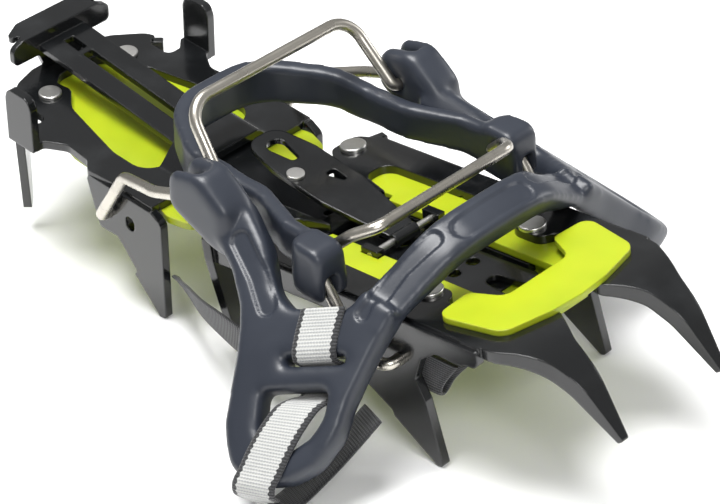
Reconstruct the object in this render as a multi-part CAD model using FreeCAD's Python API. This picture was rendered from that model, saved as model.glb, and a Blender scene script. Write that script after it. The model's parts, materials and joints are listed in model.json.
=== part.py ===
"""A ten-point strap-on mountaineering crampon, closed to its shortest length.

Everything is drawn in millimetres with the heel plate level, +X towards the toe,
+Y to the far side and +Z up.  The front section is drawn flat in its own frame and
then pitched nose-up, because the spring-steel linking bar is pre-bent.  At the end
the whole crampon is tipped forward on to its own points and centred on the floor.
"""
import FreeCAD
import Part
import math
import os

V = FreeCAD.Vector

# ---------------------------------------------------------------- driving sizes
STEEL = 3.0                 # plate thickness of both frames
LIME = 2.6                  # thickness of the anti-balling plates
RIVET_SHANK = 4.0           # diameter of the frame rivets' shanks and of their bores
WIRE = 4.0                  # bail wire diameter
WEBBING_WIDTH = 15.0
WEBBING_THICKNESS = 1.6

STANCE_PITCH = 7.6          # how far the whole crampon tips forward on to its points
FRONT_PITCH = 10.0          # nose-up pitch of the front section over the heel plate
FRONT_HEIGHT = 62.5         # height of the front plate above X = 0
HEEL_TOP = 50.0             # height of the heel plate's top face

# front section, in its own flat frame (top face at Z = 0)
FRONT_HALF_WIDTH = 39.0     # outside of the side flanges
FRONT_REAR_X = -36.0
FRONT_NOSE_X = 92.0
CHANNEL_INSIDE = 12.2       # from the middle to the inside of the bar's channel
CHANNEL_OUTSIDE = CHANNEL_INSIDE + STEEL
CHANNEL_TOP_Z = -6.0        # top of the steel channel's sides, under the lime trays
BAR_TOP_Z = -6.3            # the linking bar's top face inside the front section
FRONT_RIVETS = [(-30.8, 27.2), (53.6, 23.0)]
LEVER_PIN_RADIUS = 1.2
SIDE_TOOTH = [
    (35.0, -4.0), (35.3, -29.4), (47.4, -36.8), (48.0, -38.8), (65.0, -50.8),
    (67.4, -50.2), (63.2, -27.8), (59.8, -20.4), (63.2, -12.5), (70.0, -8.0),
    (81.0, -8.0), (88.0, -4.0),
]
REAR_TOOTH_LENGTH = 40.0

STRAP_TURN = 33.8           # how far the strap's width turns from the wing's length
TAIL = [                    # the turned-back tail: centre of each section and its face
    ((51.6, -91.0, 26.4), (0.0, -0.7, -0.9)), ((52.6, -87.0, 24.8), (0.0, 0.1, -1.0)),
    ((53.6, -80.0, 26.6), (-0.3, 0.4, -1.0)), ((54.6, -72.0, 30.4), (-0.4, 0.4, -1.0)),
    ((56.8, -64.0, 37.0), (-0.3, 0.6, -0.7)), ((59.6, -54.0, 46.4), (-0.3, 0.7, -0.7)),
]

# linking bar
BAR_WIDTH = 20.5
BAR_THICKNESS = 2.2
BAR_SLOT = 4.2
BAR_REAR = (-147.0, 60.5)   # rear end of the bar's top face, X and Z
BAR_FRONT_X = 72.0
BAR_HOLES = 7
BAR_HOLE_X = -14.8
BAR_HOLE_PITCH = 8.4
BAR_HOLE_RADIUS = 2.2
BAR_BEND_RADIUS = 100.0
BAR_FALL = 5.2              # how steeply the bar falls from its rear end, in degrees

# heel section
POST_HEIGHT = 18.0
HEEL_RIVET = (-133.0, 17.5)
HEEL_HOOK = (-81.4, 37.4)   # hole for the heel bail, X and Z
TOE_HOOK = (55.9, 56.5)     # hole for the toe bail, X and Z
HINGE_CLEARANCE = 0.05      # between a bail's pins and their bores

# baskets
HEEL_PIN = (-22.5, 80.0)    # where the heel bail's pins run through the blocks
TOE_PIN = (24.0, 80.0)      # where the toe bail's pins run through the blocks
LEVER_PIN = (19.5, 62.6)    # the lock lever's hinge, X and Z
ARCH_REAR = (45.0, 75.0)    # foot of the arch's rear face, X and Z
ARCH_LEAN = 14.0            # how far the arch leans forward, in degrees
ARCH_WIDTH = 12.3
WING_ORIGIN = (50.0, 45.0, 73.2)
WING_SLOPE = (-0.068, -0.961)   # height lost per mm forward and per mm outward
WING_THICKNESS = 8.0
WEB_CLEAR_Y = 49.4          # the wings' webs stay outside this beside the toe block


# ---------------------------------------------------------------- small helpers
def corner_round(points, radii):
    """A closed flat outline through points, each corner rounded by its radius."""
    edges = []
    arcs = []
    count = len(points)
    for i in range(count):
        before = points[i - 1]
        here = points[i]
        after = points[(i + 1) % count]
        back = (before - here).normalize()
        ahead = (after - here).normalize()
        angle = back.getAngle(ahead)
        room = 0.48 * min(here.distanceToPoint(before), here.distanceToPoint(after))
        cut = min(radii[i] / math.tan(angle / 2), room) if radii[i] > 0 else 0.0
        if cut < 0.02 or angle > 3.12:
            arcs.append((here, None, here))
            continue
        radius = cut * math.tan(angle / 2)
        centre = here + (back + ahead).normalize() * (radius / math.sin(angle / 2))
        middle = centre + (here - centre).normalize() * radius
        arcs.append((here + back * cut, middle, here + ahead * cut))
    for i in range(count):
        start, middle, end = arcs[i]
        if middle is not None:
            edges.append(Part.Arc(start, middle, end).toShape())
        nxt = arcs[(i + 1) % count][0]
        if end.distanceToPoint(nxt) > 1e-6:
            edges.append(Part.LineSegment(end, nxt).toShape())
    return Part.Wire(edges)


def flat(points, z, thickness, radius=2.0):
    """A plate in the XY plane; points are (x, y) or (x, y, corner radius)."""
    corners = [V(p[0], p[1], z) for p in points]
    radii = [p[2] if len(p) > 2 else radius for p in points]
    return Part.Face(corner_round(corners, radii)).extrude(V(0, 0, thickness))


def upright(points, y, thickness, radius=1.0):
    """A plate in the XZ plane; points are (x, z) or (x, z, corner radius)."""
    corners = [V(p[0], y, p[1]) for p in points]
    radii = [p[2] if len(p) > 2 else radius for p in points]
    return Part.Face(corner_round(corners, radii)).extrude(V(0, thickness, 0))


def across(points, x, thickness, radius=1.0):
    """A plate in the YZ plane; points are (y, z) or (y, z, corner radius)."""
    corners = [V(x, p[0], p[1]) for p in points]
    radii = [p[2] if len(p) > 2 else radius for p in points]
    return Part.Face(corner_round(corners, radii)).extrude(V(thickness, 0, 0))


def mirrored(points):
    """The (x, y) outline of a symmetric plate from its +Y half, rear to front."""
    other = [(p[0], -p[1], *p[2:]) for p in reversed(points) if abs(p[1]) > 1e-6]
    return list(points) + other


def mirror_y(shape):
    return shape.mirror(V(0, 0, 0), V(0, 1, 0))


def cylinder(radius, length, base, direction):
    return Part.makeCylinder(radius, length, base, direction)


def box(x0, x1, y0, y1, z0, z1):
    return Part.makeBox(x1 - x0, y1 - y0, z1 - z0, V(x0, y0, z0))


def bent_path(points, bends):
    """An open path of straight runs joined by tangent arcs, one radius per corner."""
    edges = []
    start = points[0]
    for i in range(1, len(points) - 1):
        here = points[i]
        back = (points[i - 1] - here).normalize()
        ahead = (points[i + 1] - here).normalize()
        angle = back.getAngle(ahead)
        if angle > 3.12:
            continue
        reach = 0.48 * min(here.distanceToPoint(points[i - 1]),
                           here.distanceToPoint(points[i + 1]))
        cut = min(bends[i - 1] / math.tan(angle / 2), reach)
        radius = cut * math.tan(angle / 2)
        centre = here + (back + ahead).normalize() * (radius / math.sin(angle / 2))
        middle = centre + (here - centre).normalize() * radius
        edges.append(Part.LineSegment(start, here + back * cut).toShape())
        edges.append(Part.Arc(here + back * cut, middle, here + ahead * cut).toShape())
        start = here + ahead * cut
    edges.append(Part.LineSegment(start, points[-1]).toShape())
    return Part.Wire(edges)


def rod(half, diameter, bends):
    """A round rod symmetric about Y = 0, bent at every corner of its +Y half."""
    points = half + [V(p.x, -p.y, p.z) for p in reversed(half)]
    path = bent_path(points, bends + list(reversed(bends)))
    along = (points[1] - points[0]).normalize()
    circle = Part.Circle(points[0], along, diameter / 2).toShape()
    return path.makePipeShell([Part.Wire([circle])], True, False)


def ribbon(stations, width, thickness):
    """A flat strap; each station is its centre, its width direction and its face."""
    sections = []
    for centre, wide, face in stations:
        w = V(wide).normalize()
        n = V(face)
        n = (n - w * n.dot(w)).normalize()
        corners = []
        for i, j in ((1, 1), (-1, 1), (-1, -1), (1, -1)):
            corners.append(centre + w * (i * width / 2) + n * (j * thickness / 2))
        sections.append(Part.makePolygon(corners + [corners[0]]))
    return Part.makeLoft(sections, True, True)


def fuse(shapes):
    whole = shapes[0]
    for shape in shapes[1:]:
        whole = whole.fuse(shape)
    return whole.removeSplitter()


def pitched(shape):
    """Carries a shape from the front section's flat frame into the whole crampon."""
    moved = shape.copy()
    moved.rotate(V(0, 0, 0), V(0, 1, 0), -FRONT_PITCH)
    moved.translate(V(0, 0, FRONT_HEIGHT))
    return moved


def front_point(x, y, z):
    """The same for a single point."""
    a = math.radians(FRONT_PITCH)
    return V(x * math.cos(a) - z * math.sin(a), y,
             FRONT_HEIGHT + x * math.sin(a) + z * math.cos(a))


# ---------------------------------------------------------------- front section
def front_plate():
    """The flat top of the front frame with its wide window and bar channel."""
    half = [
        (-25.0, 0.0, 0), (-25.0, 14.0, 3), (FRONT_REAR_X, 22.0, 4),
        (FRONT_REAR_X, 33.0, 4), (-30.0, 36.0, 6), (20.0, 35.0, 20),
        (60.0, 37.0, 20), (84.0, 36.0, 6), (FRONT_NOSE_X, 30.0, 4),
        (FRONT_NOSE_X, 12.0, 4), (84.0, 8.0, 6), (84.0, 0.0, 0),
    ]
    plate = flat(mirrored(half), -STEEL, STEEL)
    window = [(80.0, 0.0, 0), (80.0, 24.0, 4), (63.0, 25.0, 4), (60.0, 19.0, 4),
              (48.5, 19.0, 5), (44.5, 27.0, 5), (-14.0, 26.0, 6), (-14.0, 16.0, 4),
              (0.0, 12.2, 3), (0.0, 0.0, 0)]
    plate = plate.cut(flat(mirrored(window), -STEEL - 1, STEEL + 2))
    y = CHANNEL_INSIDE
    channel = flat([(-60.0, -y, 0), (90.0, -y, 3), (90.0, y, 3), (-60.0, y, 0)],
                   -STEEL - 1, STEEL + 2)
    return plate.cut(channel)


def front_web():
    """The channel under the bar, hung from the rear of the plate, and the lever's lugs."""
    webs = []
    floor = BAR_TOP_Z - BAR_THICKNESS - 0.3 - STEEL
    for x0, x1 in ((-24.0, 3.0), (48.0, 61.0)):
        webs.append(box(x0, x1, -CHANNEL_OUTSIDE, CHANNEL_OUTSIDE, floor, floor + STEEL))
    for side in (1, -1):
        y0 = min(side * CHANNEL_INSIDE, side * CHANNEL_OUTSIDE)
        y1 = y0 + STEEL
        webs.append(box(-24.0, -10.0, y0, y1, floor, 0.0))
        webs.append(box(-1.3, 61.0, y0, y1, floor, CHANNEL_TOP_Z))
        webs.append(box(15.6, 22.8, y0, y1, CHANNEL_TOP_Z - 1.0, -1.0))
    return webs


def front_flange():
    """One side flange with its downward point, as a plate on the +Y side."""
    inner = FRONT_HALF_WIDTH - STEEL
    strip = upright([(-30.0, -10.0, 3), (-30.0, -1.0, 1), (88.0, -1.0, 1),
                     (88.0, -7.0, 3)], inner, STEEL)
    tooth = upright(SIDE_TOOTH, inner, STEEL, 1.2)
    return fuse([strip, tooth])


def front_blade():
    """One forward point: a blade that curves forward and down to its tip."""
    band = upright([(80.0, -3.0, 0), (80.0, 0.0, 0), (104.0, 0.0, 30), (117.0, -7.5, 20),
                    (129.0, -24.5, 0.6), (127.2, -25.6, 0.6), (113.5, -12.0, 20),
                    (102.0, -4.6, 25)], -60.0, 120.0, 0)
    plan = flat([(80.0, 9.0, 0), (94.0, 9.0, 6), (106.0, 16.0, 12), (129.0, 21.0, 0.8),
                 (129.0, 23.5, 0.8), (108.0, 29.0, 20), (92.0, 37.0, 12), (80.0, 37.0, 0)],
                -60.0, 90.0)
    return band.common(plan)


def front_rear_tooth():
    """The tooth at the rear corner, turned almost square to the crampon."""
    tooth = across([(-9.0, 0.0, 0.5), (-9.0, -8.0, 6), (-2.4, -REAR_TOOTH_LENGTH, 1),
                    (2.4, -REAR_TOOTH_LENGTH, 1), (8.0, -8.0, 6), (8.0, 0.0, 0.5)],
                   -STEEL / 2, STEEL)
    tooth.rotate(V(0, 0, 0), V(0, 0, 1), -15.0)
    tooth.translate(V(-31.5, 33.0, -0.6))
    return tooth


def front_frame():
    pieces = [front_plate()] + front_web()
    for shape in (front_flange(), front_blade(), front_rear_tooth()):
        pieces.append(shape)
        pieces.append(mirror_y(shape))
    shoulder = box(-30.0, 84.0, 33.0, 37.5, -STEEL, 0.0)
    lip = box(80.0, 88.0, 30.0, 38.0, -STEEL, 0.0)
    for shape in (shoulder, lip):
        pieces.append(shape)
        pieces.append(mirror_y(shape))
    frame = fuse(pieces)
    for x, y in FRONT_RIVETS:
        frame = frame.cut(cylinder(RIVET_SHANK / 2, 20.0, V(x, y, -10.0), V(0, 0, 1)))
        frame = frame.cut(cylinder(RIVET_SHANK / 2, 20.0, V(x, -y, -10.0), V(0, 0, 1)))
    frame = pitched(frame)
    frame = frame.cut(cross_bore(TOE_HOOK, WIRE / 2 + HINGE_CLEARANCE))
    return frame.cut(cross_bore(LEVER_PIN, LEVER_PIN_RADIUS))


def cross_bore(place, radius):
    """A straight bore right across the crampon at X and Z."""
    return cylinder(radius, 120.0, V(place[0], -60.0, place[1]), V(0, 1, 0))


def front_antiball_plate():
    """The snap-in plate: a well under the bar, side trays and a lip over the nose."""
    top = -STEEL
    floor_z = -13.9
    trays = []
    tray = flat([(-16.0, 15.4, 2), (-16.0, 31.0, 6), (50.0, 33.0, 8), (78.0, 33.0, 4),
                 (78.0, 12.6, 0), (23.2, 12.6, 0), (23.2, 15.5, 0), (15.2, 15.5, 0),
                 (15.2, 12.6, 0), (0.0, 12.6, 0), (-1.0, 15.4, 1)], top - LIME, LIME)
    for side in (1, -1):
        y0 = min(side * 15.4, side * 18.0)
        trays.append(box(-16.0, 78.0, y0, y0 + 2.6, floor_z, top))
    trays.append(tray)
    trays.append(mirror_y(tray))
    trays.append(box(-16.0, 78.0, -16.0, 16.0, floor_z, floor_z + 2.0))
    trays.append(upright([(61.3, floor_z, 0), (61.3, -9.2, 0), (73.4, -9.2, 5),
                          (77.4, 1.0, 3), (79.8, 1.0, 0), (79.8, floor_z, 0)],
                         -17.8, 35.6, 0))
    cover_half = [(77.0, 0.0, 0), (77.0, 14.0, 5), (66.0, 19.0, 3), (67.0, 34.0, 4),
                  (90.0, 29.4, 6), (94.0, 12.0, 6), (95.0, 0.0, 0)]
    trays.append(flat(mirrored(cover_half), 0.0, 2.0))
    plate = fuse(trays)
    for x, y in FRONT_RIVETS:
        plate = plate.cut(cylinder(RIVET_SHANK / 2, 20.0, V(x, y, -10.0), V(0, 0, 1)))
        plate = plate.cut(cylinder(RIVET_SHANK / 2, 20.0, V(x, -y, -10.0), V(0, 0, 1)))
    return pitched(plate)


def bar_guide():
    """A steel hoop across the bar, just behind the first adjustment hole."""
    low = BAR_TOP_Z - BAR_THICKNESS - 0.3
    y = CHANNEL_OUTSIDE
    profile = [(-y, low, 0.3), (-y, -3.1, 2), (y, -3.1, 2), (y, low, 0.3),
               (12.9, low, 0.3), (12.9, -5.0, 1), (-12.9, -5.0, 1), (-12.9, low, 0.3)]
    hoop = across(profile, -9.6, 8.0)
    return pitched(hoop)


def lock_lever():
    """The sprung lever over the bar: ring end at the rear, hinge end at the front."""
    plan = flat([(-46.0, -6.5, 6), (-30.0, -9.6, 10), (-8.0, -9.6, 12), (20.0, -5.0, 3),
                 (20.0, 5.0, 3), (-8.0, 9.6, 12), (-30.0, 9.6, 10), (-46.0, 6.5, 6)],
                0.0, 120.0)
    side = upright([(-50.0, 68.3, 0), (-8.0, 66.2, 30), (19.0, 64.4, 0),
                    (19.0, 62.6, 0), (-8.0, 64.4, 30), (-50.0, 66.5, 0)], -20.0, 40.0)
    ring = flat([(-41.5, -4.2, 4.0), (-41.5, 4.2, 4.0), (-29.0, 1.6, 1.5),
                 (-29.0, -1.6, 1.5)], 0.0, 120.0)
    window = flat([(-17.5, 1.0, 1.2), (-17.5, 5.6, 1.2), (-7.0, 5.0, 1.0)], 0.0, 120.0)
    eye = cylinder(2.4, 10.0, V(LEVER_PIN[0], -5.0, LEVER_PIN[1]), V(0, 1, 0))
    lever = fuse([side.common(plan).cut(ring).cut(window), eye])
    lever = lever.cut(cross_bore(LEVER_PIN, LEVER_PIN_RADIUS + HINGE_CLEARANCE))
    return lever.cut(lever_rivet())


def lever_pin():
    """The cross pin that the lever turns on, pressed into the frame's lugs."""
    return cylinder(LEVER_PIN_RADIUS, 2 * CHANNEL_OUTSIDE,
                    V(LEVER_PIN[0], -CHANNEL_OUTSIDE, LEVER_PIN[1]), V(0, 1, 0))


def lever_rivet():
    head = cylinder(3.0, 1.1, V(-23.0, -6.2, 66.9), V(0, 0, 1))
    shank = cylinder(1.6, 2.6, V(-23.0, -6.2, 64.6), V(0, 0, 1))
    return head.fuse(shank)


def lock_stud():
    """The stud under the lever that drops into the bar's adjustment holes."""
    return cylinder(1.9, 7.9, V(-18.3, 0.0, 56.9), V(0, 0, 1))


def rivet(x, y, z, head, height, shank, depth):
    """A flat-headed rivet standing on z with its shank going down."""
    top = cylinder(head / 2, height, V(x, y, z), V(0, 0, 1))
    top = top.makeFillet(height * 0.4, [top.Edges[0]])
    stem = cylinder(shank / 2, depth, V(x, y, z - depth), V(0, 0, 1))
    return top.fuse(stem)


def front_rivets():
    shapes = []
    for x, y in FRONT_RIVETS:
        for side in (1, -1):
            shapes.append(rivet(x, side * y, 0.0, 9.0, 1.4, RIVET_SHANK, STEEL + LIME))
    return pitched(Part.makeCompound(shapes))


# ---------------------------------------------------------------- linking bar
def bar_front(x, z):
    """A bar point in the front section's flat frame, as X and Z of the crampon."""
    p = front_point(x, 0.0, z)
    return (p.x, p.z)


def bar_knee():
    """Where the bar's two straight runs would meet, on the top face."""
    start = bar_front(0.0, BAR_TOP_Z)
    rise = math.tan(math.radians(FRONT_PITCH))
    fall = math.tan(math.radians(BAR_FALL))
    x = (BAR_REAR[1] + fall * BAR_REAR[0] - start[1] + rise * start[0]) / (rise + fall)
    return (x, start[1] + rise * (x - start[0]))


def linking_bar():
    """The pre-bent spring-steel bar with its long slot, holes, fork and T end."""
    knee = bar_knee()
    nose = bar_front(BAR_FRONT_X, BAR_TOP_Z)
    nose_low = bar_front(BAR_FRONT_X, BAR_TOP_Z - BAR_THICKNESS)
    t = BAR_THICKNESS
    side = upright([(BAR_REAR[0], BAR_REAR[1], 0), (knee[0], knee[1], BAR_BEND_RADIUS),
                    (nose[0], nose[1], 0), (nose_low[0], nose_low[1], 0),
                    (knee[0], knee[1] - t, BAR_BEND_RADIUS + t),
                    (BAR_REAR[0], BAR_REAR[1] - t, 0)], -15.0, 30.0)
    half = BAR_WIDTH / 2
    plan = [(BAR_REAR[0] - 1, -half, 0), (50.0, -half, 8), (66.0, -half - 0.6, 2),
            (71.5, -half + 2.0, 2.5), (71.5, -half + 5.6, 2.5), (56.0, -2.6, 3),
            (56.0, 2.6, 3), (71.5, half - 5.6, 2.5), (71.5, half - 2.0, 2.5),
            (66.0, half + 0.6, 2), (50.0, half, 8), (BAR_REAR[0] - 1, half, 0)]
    bar = side.common(flat(plan, 0.0, 120.0))
    slot = [(-143.0, -BAR_SLOT / 2, 0.5), (-143.0, BAR_SLOT / 2, 0.5),
            (-62.0, BAR_SLOT / 2, 1.5), (-62.0, -BAR_SLOT / 2, 1.5)]
    bar = bar.cut(flat(slot, 0.0, 120.0))
    lean = V(-math.sin(math.radians(FRONT_PITCH)), 0, math.cos(math.radians(FRONT_PITCH)))
    for i in range(BAR_HOLES):
        base = front_point(BAR_HOLE_X + i * BAR_HOLE_PITCH, 0.0, BAR_TOP_Z - 6)
        bar = bar.cut(cylinder(BAR_HOLE_RADIUS, 14.0, base, lean))
    for y in (-4.2, 4.2):
        base = front_point(45.0, y, BAR_TOP_Z - 6)
        bar = bar.cut(cylinder(BAR_HOLE_RADIUS, 14.0, base, lean))
    web = box(-135.5, -133.0, -3.0, 3.0, BAR_REAR[1] - 4.0, BAR_REAR[1] - 1.2)
    lip = across([(-21.5, 56.5, 2), (-21.5, 63.0, 3), (-17.0, 65.2, 1.5),
                  (17.0, 65.2, 1.5), (21.5, 63.0, 3), (21.5, 56.5, 2),
                  (10.5, 56.5, 1.5), (8.0, HEEL_TOP, 1), (-8.0, HEEL_TOP, 1),
                  (-10.5, 56.5, 1.5)], BAR_REAR[0] - 1.6, t)
    tongue = flat([(BAR_REAR[0], -16.0, 0), (BAR_REAR[0], 16.0, 0), (-150.6, 16.4, 0.8),
                   (-149.8, 18.6, 1.0), (-152.5, 19.0, 2), (-156.5, 12.0, 4),
                   (-156.5, -12.0, 4), (-152.5, -19.0, 2), (-149.8, -18.6, 1.0),
                   (-150.6, -16.4, 0.8)], 63.2, 2.0)
    return fuse([bar, web, lip, tongue])


# ---------------------------------------------------------------- heel section
def heel_plate():
    half = [(-149.0, 0.0, 0), (-149.0, 12.0, 10), (-146.0, 21.0, 8), (-138.0, 31.0, 8),
            (-133.5, 32.5, 2), (-133.5, 27.6, 5), (-122.5, 27.6, 5), (-122.5, 33.0, 2),
            (-126.5, 37.0, 2), (-126.5, 40.0, 0.5), (-113.5, 40.0, 0.5),
            (-113.5, 37.0, 2), (-106.0, 32.5, 5), (-95.0, 33.5, 3), (-91.0, 37.0, 2),
            (-60.0, 34.0, 3), (-60.0, 0.0, 0)]
    plate = flat(mirrored(half), HEEL_TOP - STEEL, STEEL)
    window_half = [(-140.0, 0.0, 0), (-140.0, 7.0, 4), (-136.5, 11.5, 2),
                   (-130.0, 10.5, 4), (-122.0, 17.5, 12), (-92.0, 24.5, 20),
                   (-78.0, 24.5, 8), (-73.0, 15.0, 6), (-73.0, 0.0, 0)]
    plate = plate.cut(flat(mirrored(window_half), 40.0, 20.0))
    channel = flat([(-74.0, -12.0, 1), (-50.0, -12.0, 0), (-50.0, 12.0, 0),
                    (-74.0, 12.0, 1)], 40.0, 20.0)
    return plate.cut(channel)


def heel_bridge():
    """The strap of the heel frame that arches over the linking bar."""
    low = HEEL_TOP - STEEL
    profile = [(-26.0, low, 0.5), (-26.0, HEEL_TOP, 2), (-19.0, HEEL_TOP, 3),
               (-12.5, 57.2, 4), (12.5, 57.2, 4), (19.0, HEEL_TOP, 3),
               (26.0, HEEL_TOP, 2), (26.0, low, 0.5), (17.2, low, 3),
               (11.2, 54.1, 2), (-11.2, 54.1, 2), (-17.2, low, 3)]
    return across(profile, -75.0, 15.0)


def heel_flange():
    """The front side flange of the heel frame with its point, on the +Y side."""
    flange = upright([(-92.0, 48.0, 2), (-86.2, 29.0, 2), (-77.0, 29.5, 3),
                      (-68.0, 19.6, 2), (-69.3, 17.9, 0.4), (-57.4, 6.4, 0.8),
                      (-54.6, 7.0, 0.8), (-54.9, 46.0, 3), (-60.0, 48.5, 1)],
                     -STEEL, STEEL)
    flange = flange.cut(cross_bore(HEEL_HOOK, WIRE / 2 + HINGE_CLEARANCE))
    slot = upright([(-72.6, 35.6, 2), (-72.6, 41.0, 2), (-68.2, 41.0, 2),
                    (-68.2, 35.6, 2)], -6.0, 12.0)
    flange = flange.cut(slot)
    flange.translate(V(0, 37.0, 0))
    return flange


def heel_post():
    """The upright side tab that keeps the boot's heel in line."""
    post = upright([(-126.5, HEEL_TOP - STEEL, 0.3), (-126.5, 64.0, 3),
                    (-125.0, HEEL_TOP + POST_HEIGHT, 3),
                    (-115.0, HEEL_TOP + POST_HEIGHT, 3), (-113.5, 64.0, 3),
                    (-113.5, HEEL_TOP - STEEL, 0.3)], 38.5, STEEL)
    return post


def heel_rear_tooth():
    """The rear corner point, standing diagonally across the corner."""
    tooth = across([(-8.0, 0.0, 0.5), (-8.0, -6.0, 4), (-3.0, -43.5, 1),
                    (3.0, -43.5, 1), (9.0, -6.0, 4), (9.0, 0.0, 0.5)],
                   -STEEL / 2, STEEL)
    tooth.rotate(V(0, 0, 0), V(0, 0, 1), -45.0)
    tooth.translate(V(-138.0, 27.0, HEEL_TOP - 1.0))
    return tooth


def heel_frame():
    pieces = [heel_plate(), heel_bridge()]
    for shape in (heel_flange(), heel_post(), heel_rear_tooth()):
        pieces.append(shape)
        pieces.append(mirror_y(shape))
    for side in (1, -1):
        y0 = min(side * 33.0, side * 36.0)
        pieces.append(box(-90.0, -60.0, y0, y0 + 3.0, HEEL_TOP - STEEL, HEEL_TOP))
    return fuse(pieces).cut(heel_rivet_bores())


def heel_rivet_bores():
    x, y = HEEL_RIVET
    bores = []
    for side in (1, -1):
        bores.append(cylinder(RIVET_SHANK / 2, 20.0, V(x, side * y, 40.0), V(0, 0, 1)))
    return Part.makeCompound(bores)


def heel_antiball_plate():
    top = HEEL_TOP - STEEL
    half = [(-143.0, 0.0, 0), (-143.0, 16.0, 6), (-128.0, 25.0, 8), (-104.0, 31.5, 10),
            (-62.0, 31.5, 4), (-56.0, 33.0, 6), (-45.0, 30.0, 8), (-46.0, 18.0, 5),
            (-50.0, 8.0, 3), (-50.0, 0.0, 0)]
    plate = flat(mirrored(half), top - LIME, LIME)
    return plate.cut(heel_rivet_bores())


def heel_rivets():
    shapes = []
    for side in (1, -1):
        shapes.append(rivet(HEEL_RIVET[0], side * HEEL_RIVET[1], HEEL_TOP, 8.0, 1.2,
                            RIVET_SHANK, STEEL + LIME))
    return Part.makeCompound(shapes)


# ---------------------------------------------------------------- bails
def heel_bail_wire():
    """One stainless wire: hook, outer leg, pin, inner leg and bar, then mirrored."""
    x, z = HEEL_HOOK
    px, pz = HEEL_PIN
    half = [V(x, 30.0, z), V(x, 40.6, z), V(-66.5, 41.6, 62.0), V(-45.0, 47.4, 70.6),
            V(px, 47.4, pz), V(px, 38.2, pz), V(-41.0, 35.0, 100.0)]
    return rod(half, WIRE, [3.0, 9.0, 20.0, 2.4, 2.4, 9.0])


def toe_bail_wire():
    x, z = TOE_HOOK
    px, pz = TOE_PIN
    half = [V(x, 31.0, z), V(x, 44.0, z), V(44.0, 44.0, 54.5), V(px, 44.0, pz),
            V(px, 34.6, pz), V(30.0, 33.6, 86.5), V(36.5, 29.0, 90.5)]
    return rod(half, WIRE, [3.0, 6.0, 2.4, 2.4, 8.0, 6.0])


# ---------------------------------------------------------------- heel basket
def wing_plane():
    """Origin and unit directions of the side wing's plane on the +Y side."""
    forward = V(1.0, 0.0, WING_SLOPE[0]).normalize()
    down = V(0.0, 1.0, WING_SLOPE[1])
    down = (down - forward * down.dot(forward)).normalize()
    return V(*WING_ORIGIN), forward, down


def wing_point(along, out, lift):
    """A point in the wing's plane, or lifted off it, on the +Y side."""
    origin, forward, down = wing_plane()
    return origin + forward * along + down * out + forward.cross(down) * lift


def wing_plate(points, thickness):
    """A plate in the wing's plane; points are (forward, outward, radius)."""
    _, forward, down = wing_plane()
    normal = forward.cross(down)
    corners = [wing_point(p[0], p[1], -thickness / 2) for p in points]
    face = Part.Face(corner_round(corners, [p[2] for p in points]))
    return face.extrude(normal * thickness)


def heel_wing():
    """One side of the heel basket: arm, strap slot, strap loop and front leg."""
    outline = [(7.6, -5.0, 0), (8.0, 8.0, 20), (10.6, 25.0, 20), (14.0, 36.0, 12),
               (13.2, 46.0, 8), (8.5, 54.0, 8), (-1.0, 61.0, 8), (-11.0, 60.5, 8),
               (-19.5, 52.5, 12), (-31.0, 30.6, 24), (-38.0, 20.0, 24),
               (-48.5, 12.0, 24), (-61.0, 6.5, 10), (-69.0, 3.0, 4), (-67.0, -8.0, 4),
               (-57.0, -6.0, 12), (-43.0, 1.0, 24), (-32.0, 11.0, 8), (-23.0, 13.0, 5),
               (-5.6, 2.6, 5), (-4.7, -5.0, 0)]
    plate = wing_plate(outline, WING_THICKNESS)
    slot = [(-17.0, 24.5, 1.4), (1.8, 12.4, 1.4), (4.4, 16.4, 1.4), (-14.2, 28.6, 1.4)]
    loop = [(-17.0, 37.0, 2.5), (3.5, 23.4, 3), (8.0, 33.0, 6), (7.6, 41.0, 6),
            (4.0, 48.0, 5), (-3.0, 51.6, 4), (-10.5, 47.6, 5)]
    return plate.cut(wing_plate(slot, 30.0)).cut(wing_plate(loop, 30.0))


def arch():
    """The crown between the wings, leaning forward, square to the crampon."""
    profile = [(52.0, 71.5, 0), (19.5, 94.4, 28), (-19.5, 94.4, 28), (-52.0, 71.5, 0),
               (-52.0, 61.0, 0), (-40.2, 76.0, 6), (-17.0, 87.0, 22), (17.0, 87.0, 22),
               (40.2, 76.0, 6), (52.0, 61.0, 0)]
    crown = across(profile, ARCH_REAR[0], ARCH_WIDTH)
    plaque = flat([(ARCH_REAR[0] + 1.6, -13.0, 3), (ARCH_REAR[0] + 10.7, -13.0, 3),
                   (ARCH_REAR[0] + 10.7, 13.0, 3), (ARCH_REAR[0] + 1.6, 13.0, 3)],
                  94.0, 0.9)
    crown = crown.fuse(plaque)
    crown.rotate(V(ARCH_REAR[0], 0, ARCH_REAR[1]), V(0, 1, 0), ARCH_LEAN)
    return crown


def heel_leg_gap():
    """Room in the clevis block for the heel bail's leg, on the +Y side."""
    px, pz = HEEL_PIN
    return box(px - 30.0, px + 2.7, 44.8, 50.0, pz - 30.0, pz + 30.0)


def heel_block():
    """The clevis block that the heel bail's pin runs through, on the +Y side."""
    px, pz = HEEL_PIN
    block = upright([(px - 9.0, pz - 4.5, 4), (px - 9.0, pz + 8.0, 5),
                     (px + 4.0, pz + 12.0, 6), (px + 16.0, pz + 4.0, 6),
                     (px + 18.0, pz - 12.0, 6), (px + 9.0, pz - 11.0, 6)], 40.6, 11.8)
    bore = cylinder(WIRE / 2 + HINGE_CLEARANCE, 14.0, V(px, 36.0, pz), V(0, 1, 0))
    return block.cut(heel_leg_gap()).cut(bore)


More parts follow.
